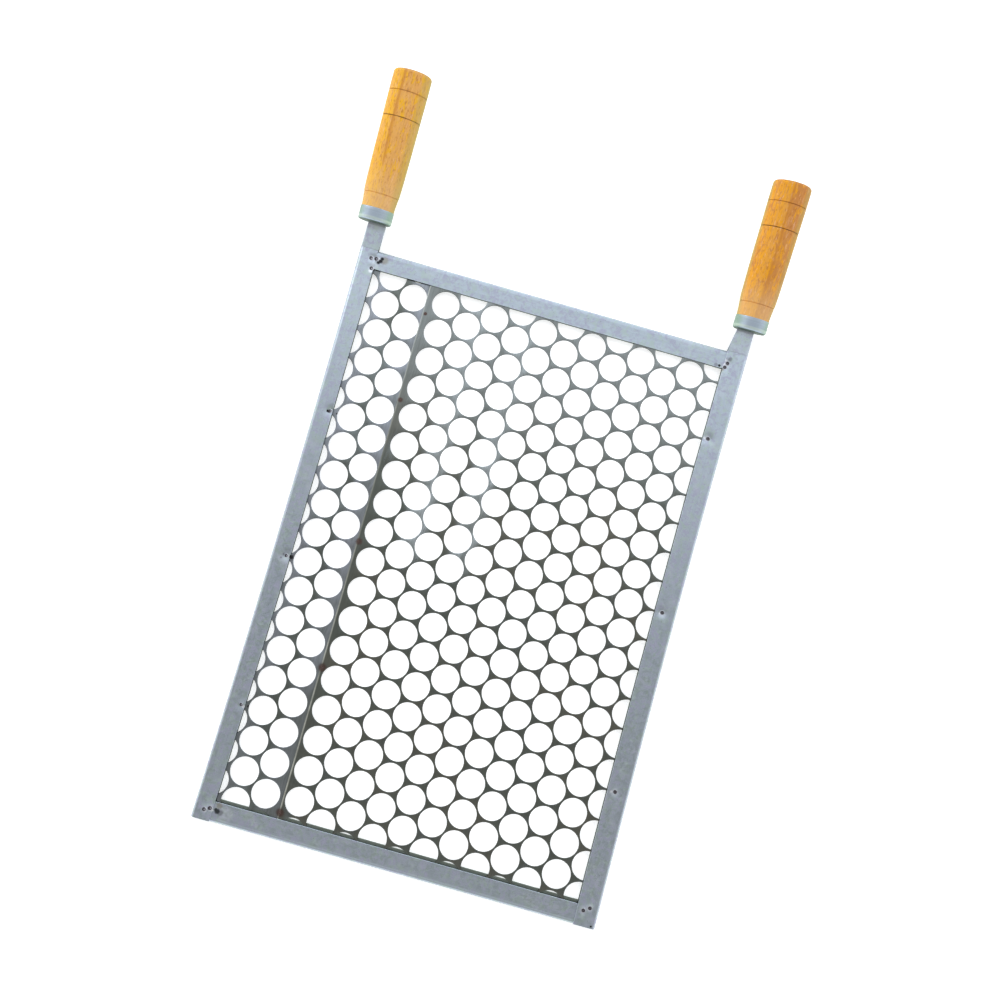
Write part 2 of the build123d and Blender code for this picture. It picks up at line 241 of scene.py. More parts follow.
def turn_outwards(mesh, trims=()):
    """Turns a closed mesh's faces outwards, once everything past the trim planes is cut off."""
    editable = bmesh.new()
    editable.from_mesh(mesh)
    for at, outward in trims:
        trim(editable, at, outward)
    bmesh.ops.recalc_face_normals(editable, faces=editable.faces)
    editable.to_mesh(mesh)
    editable.free()


def trim(editable, at, outward):
    """Cuts everything past a plane off a closed mesh and closes the cut."""
    geometry = editable.verts[:] + editable.edges[:] + editable.faces[:]
    bmesh.ops.bisect_plane(editable, geom=geometry, plane_co=at, plane_no=outward, clear_outer=True)
    open_edges = [edge for edge in editable.edges if edge.is_boundary]
    bmesh.ops.holes_fill(editable, edges=open_edges, sides=0)


def store(mesh, name, values):
    """Keeps a number for each vertex, which a material can follow."""
    mesh.attributes.new(name, "FLOAT", "POINT").data.foreach_set("value", values)


def make_piece(name, mesh, material, node, crease_angle=35.0, place=None):
    """Makes a mesh a smooth-shaded piece that rides on the grill and stands for its CAD node.

    A mesh made in a handle's own frame keeps those places in an attribute for its material.
    """
    if place is not None:
        own = mesh.attributes.new("own_place", "FLOAT_VECTOR", "POINT")
        own.data.foreach_set("vector", [number for vertex in mesh.vertices for number in vertex.co])
        mesh.transform(place)
    mesh.shade_smooth()
    mesh.set_sharp_from_angle(angle=math.radians(crease_angle))
    mesh.materials.append(material)
    piece = new_object(name, mesh)
    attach(piece, "root")
    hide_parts(node)


def arc(centre, radius, start, end, steps):
    """Points along an arc in a flat section, from one angle to another."""
    turns = [start + (end - start) * i / steps for i in range(steps + 1)]
    return [(centre[0] + radius * math.cos(turn), centre[1] + radius * math.sin(turn))
            for turn in turns]


def ring_faces(first, second, count):
    """Quads between two closed rings of vertices that start at the given indices."""
    return [(first + i, first + (i + 1) % count, second + (i + 1) % count, second + i)
            for i in range(count)]


def turned(profile, segments, reshape=None):
    """Vertices and faces of a closed lathe shape about Z, from (radius, height) points.

    The first and last points lie on the axis. reshape may move each vertex.
    """
    vertices = []
    faces = []
    for radius, height in profile[1:-1]:
        for i in range(segments):
            angle = 2 * math.pi * i / segments
            point = Vector((radius * math.cos(angle), radius * math.sin(angle), height))
            vertices.append(reshape(point) if reshape else point)
    for ring in range(len(profile) - 3):
        faces += ring_faces(ring * segments, (ring + 1) * segments, segments)
    for height, start in ((profile[0][1], 0), (profile[-1][1], (len(profile) - 3) * segments)):
        tip = len(vertices)
        vertices.append(Vector((0, 0, height)))
        faces += [(tip, start + i, start + (i + 1) % segments) for i in range(segments)]
    return vertices, faces


# ---- Folded strips: side rails and end bars ----

FLAT_STEPS = 15
NOSE_STEPS = 14
LIP_ROUND = 0.22 * MM
CREASE_WIDTH = 0.8 * MM
CREASE_DEPTH = 0.16 * MM
CLOSED_GAP = 0.03 * MM
END_CHAMFER = 0.15 * MM
STATION_STEP = 7.0 * MM
FINE_STATION_STEP = 0.7 * MM
DIMPLE_REACH = 7.0 * MM
NECK_FOLD = 0.3 * MM                  # the neck's bends are this sharp


def fold_path(width, radius, lip_shift, lower_lip):
    """One face of the folded strip: from its lower lip round the nose to its upper lip.

    Points are (distance in from the outer edge, height from the middle). lip_shift rounds the
    lips: it is how far the path's ends turn towards the strip's other face. lower_lip is how
    much further in the lower flange reaches.
    """
    flat_start = radius + CREASE_WIDTH
    flat_end = width - LIP_ROUND
    flat = [flat_start + (flat_end - flat_start) * i / FLAT_STEPS for i in range(FLAT_STEPS + 1)]
    stretch = (flat_end + lower_lip - flat_start) / (flat_end - flat_start)
    lower = [(width + lower_lip, -radius + lip_shift)]
    lower += [(flat_start + (inward - flat_start) * stretch, -radius) for inward in reversed(flat)]
    upper = [(inward, radius) for inward in flat] + [(width, radius - lip_shift)]
    nose = arc((radius, 0.0), radius, -math.pi / 2, -1.5 * math.pi, NOSE_STEPS)
    return lower + nose + upper


def fold_section(outer, width, height, lower_lip=0.0):
    """The closed loop of a strip's section: its outer face, then its inner face going back.

    outer is how far the whole section sits in from the strip's true outer edge.
    """
    radius = height / 2
    inner_radius = max(radius - gauge, CLOSED_GAP)
    wall = radius - inner_radius
    outside = fold_path(width - outer, radius, LIP_ROUND, lower_lip)
    inside = fold_path(width - outer - wall, inner_radius, -LIP_ROUND, lower_lip)
    creased = creased_top(outside, radius)
    loop = [(outer + inward, rise) for inward, rise in creased]
    loop += [(outer + wall + inward, rise) for inward, rise in reversed(inside)]
    return loop


def creased_top(path, radius):
    """Presses the fold's shallow crease into the path, where the upper flat meets the nose."""
    pressed = []
    for inward, rise in path:
        from_crease = abs(inward - radius) / CREASE_WIDTH
        depth = CREASE_DEPTH * max(0.0, 1 - from_crease) if rise > 0 else 0.0
        pressed.append((inward, rise - depth))
    return pressed


def stations(start, end, fine_places):
    """Distances along a strip: coarse steps, and fine ones near each weld or dent."""
    found = {start, end}
    steps = math.ceil((end - start) / STATION_STEP)
    found.update(start + (end - start) * i / steps for i in range(steps))
    fine_steps = int(DIMPLE_REACH / FINE_STATION_STEP)
    for place in fine_places:
        for i in range(-fine_steps, fine_steps + 1):
            at = place + i * FINE_STATION_STEP
            if start + END_CHAMFER < at < end - END_CHAMFER:
                found.add(at)
    ordered = sorted(found)
    kept = [ordered[0]]
    for at in ordered[1:]:
        if at - kept[-1] > FINE_STATION_STEP / 2:
            kept.append(at)
    kept[-1] = ordered[-1]
    return kept


def sweep(rings):
    """Vertices and faces of a strip through successive loops, with both ends closed."""
    count = len(rings[0])
    vertices = [point for ring in rings for point in ring]
    faces = []
    for i in range(len(rings) - 1):
        faces += ring_faces(i * count, (i + 1) * count, count)
    half = count // 2
    for base in (0, (len(rings) - 1) * count):
        faces += [(base + i, base + i + 1, base + count - 2 - i, base + count - 1 - i)
                  for i in range(half - 1)]
    return vertices, faces


def press_dimples(point, dimples):
    """Lowers a point of the strip's upper flange where the electrodes pressed it."""
    if point.z <= mid_level:
        return point
    for (x, y), depth, radius in dimples:
        distance = math.hypot(point.x - x, point.y - y) / radius
        point.z -= depth * math.exp(-distance ** 2)
    return point


def chamfered_ends(loop_at, places):
    """Loops at successive places, with a small chamfer on the sheared ends."""
    rings = [loop_at(at, 0.0) for at in places]
    rings.insert(0, loop_at(places[0] - END_CHAMFER, END_CHAMFER))
    rings.append(loop_at(places[-1] + END_CHAMFER, END_CHAMFER))
    return rings


def rail_dimples(side):
    """Where a side rail's upper flange is pressed down, with each dimple's depth and radius."""
    corner = [(place, 0.35 * MM, 3.4 * MM) for place in corner_weld_places(side)]
    along = [(place, 0.55 * MM, 4.2 * MM) for place in rail_weld_places(side)]
    return corner + along


def rail_rings(side, dimples):
    """Loops of a side rail from its far end, along the frame, up the neck and into the ferrule."""
    width = rail_width(side)
    low_y = far_bar_low.y
    high_y = handle_bar_high.y
    handle = handle_matrix(side)
    rings = []

    def straight(at, inset):
        ring = []
        for inward, rise in fold_section(inset, width - inset, rail_height - 2 * inset):
            lip_share = inward / width
            fade = min(1.0, (high_y - at) / (30 * MM))
            wave = 0.14 * MM * wobble((side, at, 0), 60 * MM, 3.0) * lip_share * fade
            x = side * (rail_outer(at - grill_y) - inward + wave)
            ring.append(press_dimples(Vector((x, at, mid_level + rise)), dimples))
        return ring

    places = stations(low_y + END_CHAMFER, high_y, [place.y for place, _, _ in dimples])
    places.insert(-1, high_y - NECK_FOLD)
    rings.append(straight(low_y, END_CHAMFER))
    rings += [straight(at, 0.0) for at in places]

    neck_width = NECK_OUTER_EDGE - NECK_INNER_EDGE[side]
    neck_steps = 14
    sharp_end = NECK_FOLD / (HANDLE_BASE_Y[side] - NECK_END - handle_end_y)
    between = [i / neck_steps for i in range(1, neck_steps)]
    for share in [sharp_end] + between + [1 - sharp_end, 1.0]:
        rings.append(neck_ring(side, handle, share, width, neck_width, high_y))
    for along in (0.0, BLADE_END):
        rings.append(blade_ring(side, handle, along, neck_width))
    return rings


def blade_ring(side, handle, along, neck_width):
    """A loop of the flat blade at a distance along the handle's axis."""
    ring = []
    for inward, rise in fold_section(0.0, neck_width, 2 * gauge):
        x = side * (NECK_OUTER_EDGE - HANDLE_X - inward)
        ring.append(handle @ Vector((x, -rise, along)))
    return ring


def neck_ring(side, handle, share, width, neck_width, start_y):
    """A loop part of the way up the neck, between the frame's section and the flat blade's."""
    height = rail_height + (2 * gauge - rail_height) * share
    ring = []
    frame_loop = fold_section(0.0, width, height)
    blade_loop = fold_section(0.0, neck_width, height)
    for (frame_in, frame_rise), (blade_in, blade_rise) in zip(frame_loop, blade_loop):
        start_x = side * (rail_outer(handle_end_y) - frame_in)
        start = Vector((start_x, start_y, mid_level + frame_rise))
        x = side * (NECK_OUTER_EDGE - HANDLE_X - blade_in)
        end = handle @ Vector((x, -blade_rise, -NECK_END))
        ring.append(start.lerp(end, share))
    return ring


def side_rail(side, material):
    """A folded rail with its neck and blade."""
    name = f"{SIDE_WORD[side]}_rail_strip"
    mesh = new_mesh(name, *sweep(rail_rings(side, rail_dimples(side))))
    make_piece(name, mesh, material, f"{SIDE_WORD[side]}_side_rail")


def end_bar(word, end, width, lower_lip, dents, material):
    """A folded bar between the side rails, with its fold facing away from the grill."""
    bar_low, bar_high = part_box(f"{word}_end_bar")
    outer_y = bar_high.y if end > 0 else bar_low.y
    dimples = [(on_grill(x, y), depth * MM, radius * MM) for x, y, depth, radius in dents]
    places = stations(bar_low.x + END_CHAMFER, bar_high.x - END_CHAMFER,
                      [place.x for place, _, _ in dimples])

    def loop_at(at, inset):
        ring = []
        for inward, rise in fold_section(inset, width - inset, bar_height - 2 * inset, lower_lip):
            wave = 0.16 * MM * wobble((at, end, 0), 70 * MM, 5.0) * inward / width
            point = Vector((at, outer_y - end * (inward + wave), mid_level + rise))
            ring.append(press_dimples(point, dimples))
        return ring

    name = f"{word}_end_strip"
    mesh = new_mesh(name, *sweep(chamfered_ends(loop_at, places)))
    make_piece(name, mesh, material, f"{word}_end_bar")


# ---- Punched sheets ----

HOLE_SEGMENTS = 52
FACE_OFFSET = 0.42 * MM
HOLE_PROFILE = (                      # (distance in from the hole's wall, depth below the top)
    (FACE_OFFSET, 0.0), (0.2 * MM, 0.02 * MM), (0.07 * MM, 0.1 * MM), (0.0, 0.26 * MM),
    (0.0, 0.8 * MM), (0.05 * MM, 0.95 * MM), (0.16 * MM, 1.0 * MM), (FACE_OFFSET, 1.0 * MM))
RIM_SHADES = (0.0, 0.35, 1.0, 1.0, 1.0, 1.0, 0.6, 0.0)
# How much of the painted highlight along a cut edge each step of the profile gets:
CUT_HIGHLIGHTS = (0.0, 1.0, 1.0, 1.0, 1.0, 1.0, 1.0, 0.0)
SEAM_BEVEL = 3.4                      # the cut edge is rolled over this many times further
SPARE_EDGE = 16 * MM                  # made past the hidden edges and trimmed off
SIDE_STEPS = 90
SHEET_BOW = 0.12 * MM


def hole_centres(first_hole, low_x, high_x):
    """Staggered hole centres between two X limits, as far as they show inside the frame."""
    far_inner = FAR_END_Y + far_bar_width
    handle_inner = handle_end_y - handle_bar_width
    centres = []
    for column in range(-15, 16):
        x = first_hole[0] + column * COLUMN_SPACING
        if x - HOLE_RADIUS < low_x or x + HOLE_RADIUS > high_x:
            continue
        if x + HOLE_RADIUS < rail_inner[LEFT] or x - HOLE_RADIUS > rail_inner[RIGHT]:
            continue
        stagger = HOLE_PITCH / 2 if column % 2 else 0.0
        for row in range(-15, 16):
            y = first_hole[1] + stagger + row * HOLE_PITCH
            if y + HOLE_RADIUS > far_inner and y - HOLE_RADIUS < handle_inner:
                centres.append(Vector((x, grill_y + y)))
    return centres


def hole_loop(centre, offset):
    """Points round a hole, at a distance out from its wall."""
    loop = []
    for i in range(HOLE_SEGMENTS):
        angle = 2 * math.pi * i / HOLE_SEGMENTS
        reach = HOLE_RADIUS + offset
        loop.append(Vector((centre.x + reach * math.cos(angle), centre.y + reach * math.sin(angle))))
    return loop


def outline_loop(cut_side, cut_at, bevel):
    """Points round a sheet: straight ends, a hidden side, and a cut side that may run askew."""
    low = FAR_END_Y - SPARE_EDGE
    high = handle_end_y + SPARE_EDGE
    rows = [low + (high - low) * i / SIDE_STEPS for i in range(SIDE_STEPS + 1)]
    hidden_x = -cut_side * (rail_fold_x + SPARE_EDGE)
    hidden = [Vector((hidden_x, grill_y + y)) for y in rows]
    cut = [Vector((cut_at(y) - cut_side * bevel, grill_y + y)) for y in rows]
    return cut + hidden[::-1] if cut_side == RIGHT else hidden + cut[::-1]


def flat_triangles(loops, centres):
    """Triangles that fill the sheet's face between its outline and its holes."""
    points = [point for loop in loops for point in loop]
    edges = []
    start = 0
    for loop in loops:
        count = len(loop)
        edges += [(start + i, start + (i + 1) % count) for i in range(count)]
        start += count
    made, _, triangles, sources, _, _ = delaunay_2d_cdt(points, edges, [], 1, 1e-9)
    lookup = kdtree.KDTree(len(centres))
    for i, centre in enumerate(centres):
        lookup.insert((centre.x, centre.y, 0), i)
    lookup.balance()
    kept = []
    for triangle in triangles:
        middle = sum((made[i] for i in triangle), Vector((0, 0))) / 3
        _, _, distance = lookup.find((middle.x, middle.y, 0))
        if distance > HOLE_RADIUS + FACE_OFFSET * 0.9:
            kept.append([sources[i][0] for i in triangle])
    return kept


def punched_sheet(word, bottom, cut_side, cut_at, centres, material):
    """A sheet with rolled hole edges and a bevelled cut side, trimmed where the frame hides it."""
    vertices = []
    faces = []
    rims = []
    cuts = []
    top = bottom + sheet_gauge
    starts = []
    for step, (offset, depth) in enumerate(HOLE_PROFILE):
        loops = [outline_loop(cut_side, cut_at, offset * SEAM_BEVEL)]
        loops += [hole_loop(centre, offset) for centre in centres]
        earlier_starts = starts
        starts = []
        for number, loop in enumerate(loops):
            starts.append(len(vertices))
            for point in loop:
                bow = SHEET_BOW * wobble((point.x, point.y, 0), 90 * MM, 8.0)
                vertices.append(Vector((point.x, point.y, top - depth + bow)))
                rims.append(RIM_SHADES[step] if number else 0.0)
                cuts.append(0.0 if number else CUT_HIGHLIGHTS[step])
        if step in (0, len(HOLE_PROFILE) - 1):
            flat = flat_triangles(loops, centres)
            faces += [[starts[0] + i for i in triangle] for triangle in flat]
        for earlier, start, loop in zip(earlier_starts, starts, loops):
            faces += ring_faces(earlier, start, len(loop))
    name = f"{word}_punched_sheet"
    mesh = bpy.data.meshes.new(name)
    mesh.from_pydata(vertices, [], faces)
    store(mesh, "rim", rims)
    store(mesh, "cut", cuts)
    hidden_side = Vector((-cut_side, 0, 0))
    turn_outwards(mesh, [(Vector((0, sheet_low.y, 0)), Vector((0, -1, 0))),
                         (Vector((0, sheet_high.y, 0)), Vector((0, 1, 0))),
                         (hidden_side * rail_fold_x, hidden_side)])
    make_piece(name, mesh, material, f"{word}_perforated_sheet")


# ---- Spot welds ----

WELD_SEGMENTS = 28
WELD_SHAPE = (                        # (share of the radius, share of the button's height)
    (0.0, 0.05), (0.14, 0.0), (0.3, 0.1), (0.44, 0.55), (0.56, 0.95), (0.66, 1.0), (0.78, 0.72),
    (0.9, 0.3), (1.0, -0.4))
WELD_ROOT = 0.9 * MM                  # how far a button's closed underside is buried


def weld_button(place, level, radius, number):
    """A button with an uneven rim, and each vertex's distance out and to the right, as shares."""
    profile = [(share * radius, level + height * WELD_BUTTON_HEIGHT) for share, height in WELD_SHAPE]
    profile += [(0.8 * radius, level - WELD_ROOT), (0.0, level - WELD_ROOT)]
    vertices, faces = turned(profile, WELD_SEGMENTS)
    shares = [(min(1.0, vertex.to_2d().length / radius), vertex.x / radius) for vertex in vertices]
    moved = []
    for vertex in vertices:
        uneven = 1 + 0.1 * wobble((vertex.x, vertex.y, number), radius, 11.0 + number)
        moved.append(Vector((place.x + vertex.x * uneven, place.y + vertex.y * uneven, vertex.z)))
    return moved, faces, shares


def weld_group(name, node, places, level, radius, material):
    """A group of identical welds as one piece, with the numbers that its colours follow."""
    vertices = []
    faces = []
    shares = []
    for number, place in enumerate(places):
        base = len(vertices)
        some_vertices, some_faces, some_shares = weld_button(place, level, radius, number)
        vertices += some_vertices
        faces += [[base + i for i in face] for face in some_faces]
        shares += some_shares
    mesh = new_mesh(name, vertices, faces)
    for attribute, values in zip(("ring", "sideways"), zip(*shares)):
        store(mesh, attribute, values)
    make_piece(name, mesh, material, node)


def all_welds(left_finish, right_finish, seam_finish):
    """Every weld group, each at the bottom of its dimple."""
    for node, places in CORNER_WELDS.items():
        name = node.replace("_welds", "_buttons")
        spots = [on_grill(x, y) for x, y in places]
        finish = left_finish if "left" in node else right_finish
        weld_group(name, node, spots, rail_height - 0.33 * MM, CORNER_WELD_RADIUS, finish)
    weld_group("left_rail_buttons", "left_rail_spot_welds", rail_weld_places(LEFT),
               rail_height - 0.5 * MM, LEFT_RAIL_WELD_RADIUS, left_finish)
    weld_group("right_rail_buttons", "right_rail_spot_welds", rail_weld_places(RIGHT),
               rail_height - 0.5 * MM, RIGHT_RAIL_WELD_RADIUS, right_finish)
    weld_group("seam_buttons", "seam_spot_welds", seam_weld_places(), sheet_high.z + 0.02 * MM,
               SEAM_WELD_RADIUS, seam_finish)


# ---- Handles: ferrules and grips ----

FERRULE_SEGMENTS = 96
GRIP_SEGMENTS = 112


def ferrule_profile():
    """The pressed cap's section, from the middle of its outside to the middle of its inside."""
    edge = 2.0 * MM
    inner_edge = edge - FERRULE_WALL
    centre = (FERRULE_RADIUS - edge, edge)
    rim = (FERRULE_RADIUS - FERRULE_WALL / 2, FERRULE_LENGTH - FERRULE_WALL / 2)
    points = [(0.0, 0.0), (FERRULE_RADIUS * 0.45, 0.0)]
    points += arc(centre, edge, -math.pi / 2, 0.0, 8)
    points += [(FERRULE_RADIUS, 4.0 * MM), (FERRULE_RADIUS - 0.05 * MM, 6.5 * MM),
               (FERRULE_RADIUS - 0.02 * MM, 9.3 * MM)]
    points += arc(rim, FERRULE_WALL / 2, 0.0, math.pi, 6)
    points += arc(centre, inner_edge, 0.0, -math.pi / 2, 4)
    points += [(FERRULE_RADIUS * 0.45, FERRULE_WALL), (0.0, FERRULE_WALL)]
    return points


def slot_cutter(side):
    """A rounded bar a little larger than the blade, to cut the ferrule's slot."""
    clearance = 0.25 * MM
    half_height = gauge + clearance
    outer = side * (NECK_OUTER_EDGE - HANDLE_X + clearance)
    inner = side * (NECK_INNER_EDGE[side] - HANDLE_X - clearance)
    low, high = sorted((outer, inner))
    loop = arc((high - half_height, 0.0), half_height, -math.pi / 2, math.pi / 2, 12)
    loop += arc((low + half_height, 0.0), half_height, math.pi / 2, 1.5 * math.pi, 12)
    vertices = [Vector((x, y, z)) for z in (-3 * MM, 3 * MM) for x, y in loop]
    count = len(loop)
    faces = ring_faces(0, count, count) + [list(range(count)), list(range(count, 2 * count))]
    return new_object("slot_cutter", new_mesh("slot_cutter", vertices, faces))


def applied_difference(mesh, cutter):
    """The mesh with the cutter's shape taken out of it, and the cutter removed."""
    holder = new_object("holder", mesh)
    modifier = holder.modifiers.new("slot", "BOOLEAN")
    modifier.operation = "DIFFERENCE"
    modifier.solver = "EXACT"
    modifier.object = cutter
    evaluated = holder.evaluated_get(bpy.context.evaluated_depsgraph_get())
    result = bpy.data.meshes.new_from_object(evaluated)
    bpy.data.objects.remove(holder)
    bpy.data.objects.remove(cutter)
    return result


def pushed_in(point, depth):
    """A point of a turned piece, moved this far towards its axis."""
    around = point.to_2d()
    shrunk = around * (1 - depth / around.length)
    return Vector((shrunk.x, shrunk.y, point.z))


def ferrule(side, material):
    """A pressed cap with small dents, slotted for the blade."""
    word = SIDE_WORD[side]

    def dent(point):
        if point.to_2d().length < FERRULE_RADIUS * 0.8:
            return point
        return pushed_in(point, max(0.0, 0.07 * MM * wobble(point, 7 * MM, 21.0 + side)))

    cap = new_mesh("whole_cap", *turned(ferrule_profile(), FERRULE_SEGMENTS, dent))
    slotted = applied_difference(cap, slot_cutter(side))
    make_piece(f"{word}_ferrule_cap", slotted, material, f"{word}_ferrule",
               place=handle_matrix(side))


GRIP_SWELL = (                        # (radius, distance from the ferrule's foot), in millimetres
    (14.35, 11.6), (14.55, 16.0), (15.0, 21.0), (15.6, 26.5), (15.95, 36.0), (16.3, 58.0),
    (16.55, 86.0), (16.85, 113.5), (16.8, 127.0), (16.62, 127.9), (16.1, 128.85), (15.2, 129.5),
    (13.9, 129.8), (6.3, 130.25))
GRIP_GROOVES = (23.65, 89.4, 111.25)
GROOVE_BURNS = (0.1, 0.85, 0.35)      # how dark each groove was scorched
GROOVE_HALF_WIDTH = 0.42
GROOVE_DEPTH = 0.6
GRIP_STEP = 1.5
SWELL_START = 11.6                    # the swell is divided evenly from here to SWELL_END
SWELL_END = 126.5
END_ROUNDING = (127.0, 127.5, 127.9, 128.4, 128.85, 129.2, 129.5, 129.7, 129.8)
END_DOME = ((11.5, 129.98), (8.5, 130.17), (5.0, 130.32), (2.0, 130.39), (0.0, 130.4))


def swell_radius(along):
    """The turned radius at a distance along the grip, smoothly through the swell's points."""
    points = GRIP_SWELL
    for i in range(len(points) - 1):
        (r0, a0), (r1, a1) = points[i], points[i + 1]
        if along <= a1:
            before = points[max(0, i - 1)]
            after = points[min(len(points) - 1, i + 2)]
            slope_0 = (r1 - before[0]) / (a1 - before[1])
            slope_1 = (after[0] - r0) / (after[1] - a0)
            share = (along - a0) / (a1 - a0)
            square, cube = share ** 2, share ** 3
            return ((2 * cube - 3 * square + 1) * r0 + (cube - 2 * square + share) * (a1 - a0) * slope_0
                    + (3 * square - 2 * cube) * r1 + (cube - square) * (a1 - a0) * slope_1)
    return points[-1][0]


def groove_depth(along):
    """How deep a burnt groove cuts at a distance along the grip."""
    depth = 0.0
    for groove in GRIP_GROOVES:
        share = abs(along - groove) / GROOVE_HALF_WIDTH
        if share < 1:
            depth = GROOVE_DEPTH * (1 - share ** 1.5)
    return depth


def grip_profile():
    """The grip's section, from its hidden spigot to the middle of its domed end."""
    spigot = FERRULE_RADIUS / MM - FERRULE_WALL / MM - 0.1
    alongs = set()
    steps = int((SWELL_END - SWELL_START) / GRIP_STEP)
    alongs.update(SWELL_START + (SWELL_END - SWELL_START) * i / steps for i in range(steps + 1))
    for groove in GRIP_GROOVES:
        alongs = {along for along in alongs if abs(along - groove) > GROOVE_HALF_WIDTH * 1.6}
        alongs.update(groove + GROOVE_HALF_WIDTH * i / 5 for i in range(-6, 7))
    profile = [(0.0, 3.0), (spigot - 0.5, 3.0), (spigot, 3.5), (spigot, 11.4)]
    profile += [(swell_radius(along) - groove_depth(along), along) for along in sorted(alongs)]
    profile += [(swell_radius(along), along) for along in END_ROUNDING]
    profile += END_DOME
    return [(radius * MM, along * MM) for radius, along in profile]


def grip(side, material):
    """A turned wooden grip, very slightly out of round."""
    name = f"{SIDE_WORD[side]}_wooden_grip"

    def unevenly(point):
        if point.to_2d().length < 1 * MM or point.z < FERRULE_LENGTH:
            return point
        return pushed_in(point, 0.05 * MM * (1 + wobble(point, 22 * MM, 31.0 + side)))

    mesh = new_mesh(name, *turned(grip_profile(), GRIP_SEGMENTS, unevenly))
    make_piece(name, mesh, material, f"{SIDE_WORD[side]}_grip", crease_angle=50.0,
               place=handle_matrix(side))


# ---- Node tools ----

class Nodes:
    """Short ways to add a tree's nodes. Each input may be a number, a colour or another socket."""

    def __init__(self, tree):
        self.tree = tree

    def add(self, kind, inputs, **settings):
        """A node with the given settings, and inputs that are set or linked."""
        node = self.tree.nodes.new(kind)
        for name, value in settings.items():
            setattr(node, name, value)
        for key, value in inputs.items():
            self.put(value, node.inputs[key])
        return node

    def put(self, value, socket):
        """Sets a socket to a value, or links another socket to it."""
        if isinstance(value, bpy.types.NodeSocket):
            self.tree.links.new(value, socket)
        else:
            socket.default_value = value

    def maths(self, operation, a, b=0.0):
        """One arithmetic step."""
        return self.add("ShaderNodeMath", {0: a, 1: b}, operation=operation).outputs[0]

    def apart(self, a, b):
        """How far apart two values are."""
        return self.maths("ABSOLUTE", self.maths("SUBTRACT", a, b))

    def spread(self, value, low, high, to_low=0.0, to_high=1.0):
        """A value's range mapped smoothly to another one, and held there outside it."""
        inputs = {0: value, 1: low, 2: high, 3: to_low, 4: to_high}
        return self.add("ShaderNodeMapRange", inputs, interpolation_type="SMOOTHSTEP").outputs[0]

    def mix(self, share, a, b):
        """One colour laid over another."""
        a = (*a, 1) if isinstance(a, tuple) else a
        b = (*b, 1) if isinstance(b, tuple) else b
        return self.add("ShaderNodeMix", {0: share, 6: a, 7: b}, data_type="RGBA").outputs[2]

    def axis(self, vector, name):
        """One coordinate of a vector."""
        return self.add("ShaderNodeSeparateXYZ", {0: vector}).outputs[name]


class Shader(Nodes):
    """A material whose colour is laid on in layers, over the first one that it is given."""

    def __init__(self, name, metallic, roughness, color, turned_piece=False, seed=0.0):
        self.material = bpy.data.materials.new(name)
        self.material.use_nodes = True
        super().__init__(self.material.node_tree)
        self.turned_piece = turned_piece
        self.shift = (seed, 2 * seed, 3 * seed)
        self.color = color
        self.surface = self.tree.nodes["Principled BSDF"]
        self.surface.inputs["Metallic"].default_value = metallic
        self.surface.inputs["Roughness"].default_value = roughness
        self.surface.inputs["Base Color"].default_value = (*color, 1)

    def place(self):
        """Where a point lies, in metres: in a handle's own frame, or on the grill."""
        if self.turned_piece:
            return self.add("ShaderNodeAttribute", {}, attribute_name="own_place").outputs["Vector"]
        return self.add("ShaderNodeTexCoord", {}).outputs["Object"]

    def along(self, name):
        """One coordinate of the place."""
        return self.axis(self.place(), name)

    def noise(self, scale, detail=3.0, roughness=0.55, distortion=0.0, shift=None):
        """Smooth noise from 0 to 1, with one scale or a different one on each axis."""
        scales = scale if isinstance(scale, tuple) else (scale, scale, scale)
        mapping = {"Vector": self.place(), "Location": shift or self.shift, "Scale": scales}
        place = self.add("ShaderNodeMapping", mapping).outputs[0]
        inputs = {"Vector": place, "Scale": 1.0, "Detail": detail, "Roughness": roughness,
                  "Distortion": distortion}
        return self.add("ShaderNodeTexNoise", inputs).outputs["Fac"]

    def attribute(self, name):
        """A number stored on the mesh's vertices."""
        return self.add("ShaderNodeAttribute", {}, attribute_name=name).outputs["Fac"]

    def cover(self, color, share):
        """Lays a colour over the others by a share."""
        self.color = self.mix(share, self.color, color)

    def lay(self, color, value, bare, full, share=1.0):
        """Lays a colour over the others: none where the value is bare, and this share where full."""
        self.cover(color, self.spread(value, bare, full, 0.0, share))

    def lay_marks(self, marks, ragged, share, color):
        """Lays a colour over the others inside round marks whose edges are this ragged."""
        shake = self.add("ShaderNodeTexNoise", {"Vector": self.place(), "Scale": 900.0})
        inputs = {0: shake.outputs["Color"], 1: (ragged, ragged, 0), 2: self.place()}
        shaken = self.add("ShaderNodeVectorMath", inputs, operation="MULTIPLY_ADD").outputs[0]
        flat = self.add("ShaderNodeVectorMath", {0: shaken, 1: (1, 1, 0)}, operation="MULTIPLY")
        total = 0.0
        for x, y, radius in marks:
            spot = on_grill(x, y) + Vector((ragged / 2, ragged / 2))
            gap = self.add("ShaderNodeVectorMath", {0: flat.outputs[0], 1: (spot.x, spot.y, 0)},
                           operation="DISTANCE").outputs["Value"]
            inside = self.spread(gap, radius * MM, radius * 0.4 * MM)
            total = self.maths("MAXIMUM", total, inside)
        self.cover(color, self.maths("MULTIPLY", total, share))

    def bump(self, height, strength, distance, under=None):
        """A bumped normal, laid over another one if that is given."""
        inputs = {"Height": height, "Strength": strength, "Distance": distance}
        if under is not None:
            inputs["Normal"] = under
        return self.add("ShaderNodeBump", inputs).outputs[0]

    def finish(self, roughness, normal):
        """Joins the colour and the worked-out roughness and normal to the surface."""
        self.put(self.color, self.surface.inputs["Base Color"])
        self.put(roughness, self.surface.inputs["Roughness"])
        self.put(normal, self.surface.inputs["Normal"])
        return self.material


# ---- Materials ----

